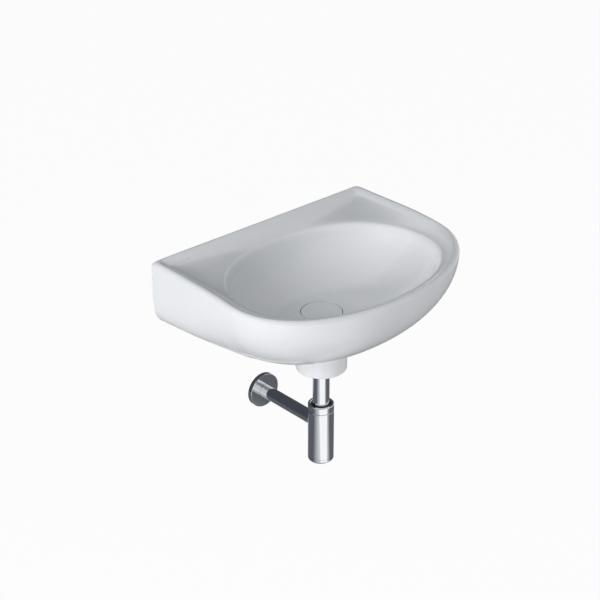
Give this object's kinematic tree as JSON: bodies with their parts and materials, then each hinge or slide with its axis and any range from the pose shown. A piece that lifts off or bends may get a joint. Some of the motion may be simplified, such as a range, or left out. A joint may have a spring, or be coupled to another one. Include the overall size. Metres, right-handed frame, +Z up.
{
  "type": "wall hung basin",
  "caption": "Wall hung washbasin in white glazed china with an oval bowl, a china-capped push waste and a chromed bottle trap with its outlet tube into the wall.",
  "frame": {"origin": "Midway between the two wall bolts, in the plane of the wall's face that the basin's back lies on.", "axes": "+X runs along the wall to the right seen from the room, the basin's longest side. +Y points into the wall, along the wall bolts. +Z is up."},
  "size_m": [0.5198, 0.4398, 0.445],
  "materials": {
    "vitreous_china": "white glaze, glossy",
    "chromed_brass": "brass with a polished chrome plate",
    "bare_brass": "bare machined brass, hidden when fitted",
    "black_rubber": "black moulded rubber, matt",
    "black_plastic": "black moulded plastic",
    "white_plastic": "white moulded plastic",
    "zinc_plated_steel": "steel with a thin zinc plate",
    "spring_steel": "stainless spring wire"
  },
  "bodies": {
    "basin": {"basin_body": "vitreous_china", "valve_cartridge": "white_plastic", "valve_spring": "spring_steel", "waste_body": "chromed_brass", "flange_gasket": "black_rubber", "lower_gasket": "black_rubber", "friction_washer": "white_plastic", "waste_backnut": "bare_brass", "tailpipe_gasket": "black_rubber", "coupling_nut": "chromed_brass", "tailpipe": "chromed_brass", "hanger_bolts": "zinc_plated_steel", "fixing_bushes": "white_plastic", "fixing_washers": "zinc_plated_steel", "fixing_nuts": "zinc_plated_steel"},
    "cover": {"waste_cover": "vitreous_china", "cover_holder": "bare_brass", "cover_seal": "black_rubber"},
    "trap": {"head_ring": "chromed_brass", "slip_ring": "black_plastic", "cone_seal": "black_rubber", "trap_bottle": "chromed_brass", "outlet_tube": "chromed_brass"},
    "cap_ring": {"cap_seal": "black_rubber"},
    "cap": {"clean_out_cap": "chromed_brass"},
    "wall_disc": {"rosette": "chromed_brass", "rosette_ring": "black_rubber"}
  },
  "joints": [
    {"name": "cover_lift", "type": "slide", "parent": "basin", "child": "cover", "axis": [0, 0, 1], "range_m": [0, 0.008], "deforming": ["valve_spring"]},
    {"name": "trap_height", "type": "slide", "parent": "basin", "child": "trap", "axis": [0, 0, 1], "range_m": [-0.03, 0.015]},
    {"name": "cap_travel", "type": "slide", "parent": "trap", "child": "cap_ring", "axis": [0, 0, -1], "range_m": [0, 0.01]},
    {"name": "cap_turn", "type": "hinge", "parent": "cap_ring", "child": "cap", "pos_m": [0, -0.173, -0.37], "axis": [0, 0, 1], "range_deg": [0, 1800]},
    {"name": "disc_slide", "type": "slide", "parent": "trap", "child": "wall_disc", "axis": [0, -1, 0], "range_m": [0, 0.11]}
  ],
  "couplings": [
    {"joint": "cap_travel", "follows": "cap_turn", "m_per_rad": 0.0003183}
  ]
}
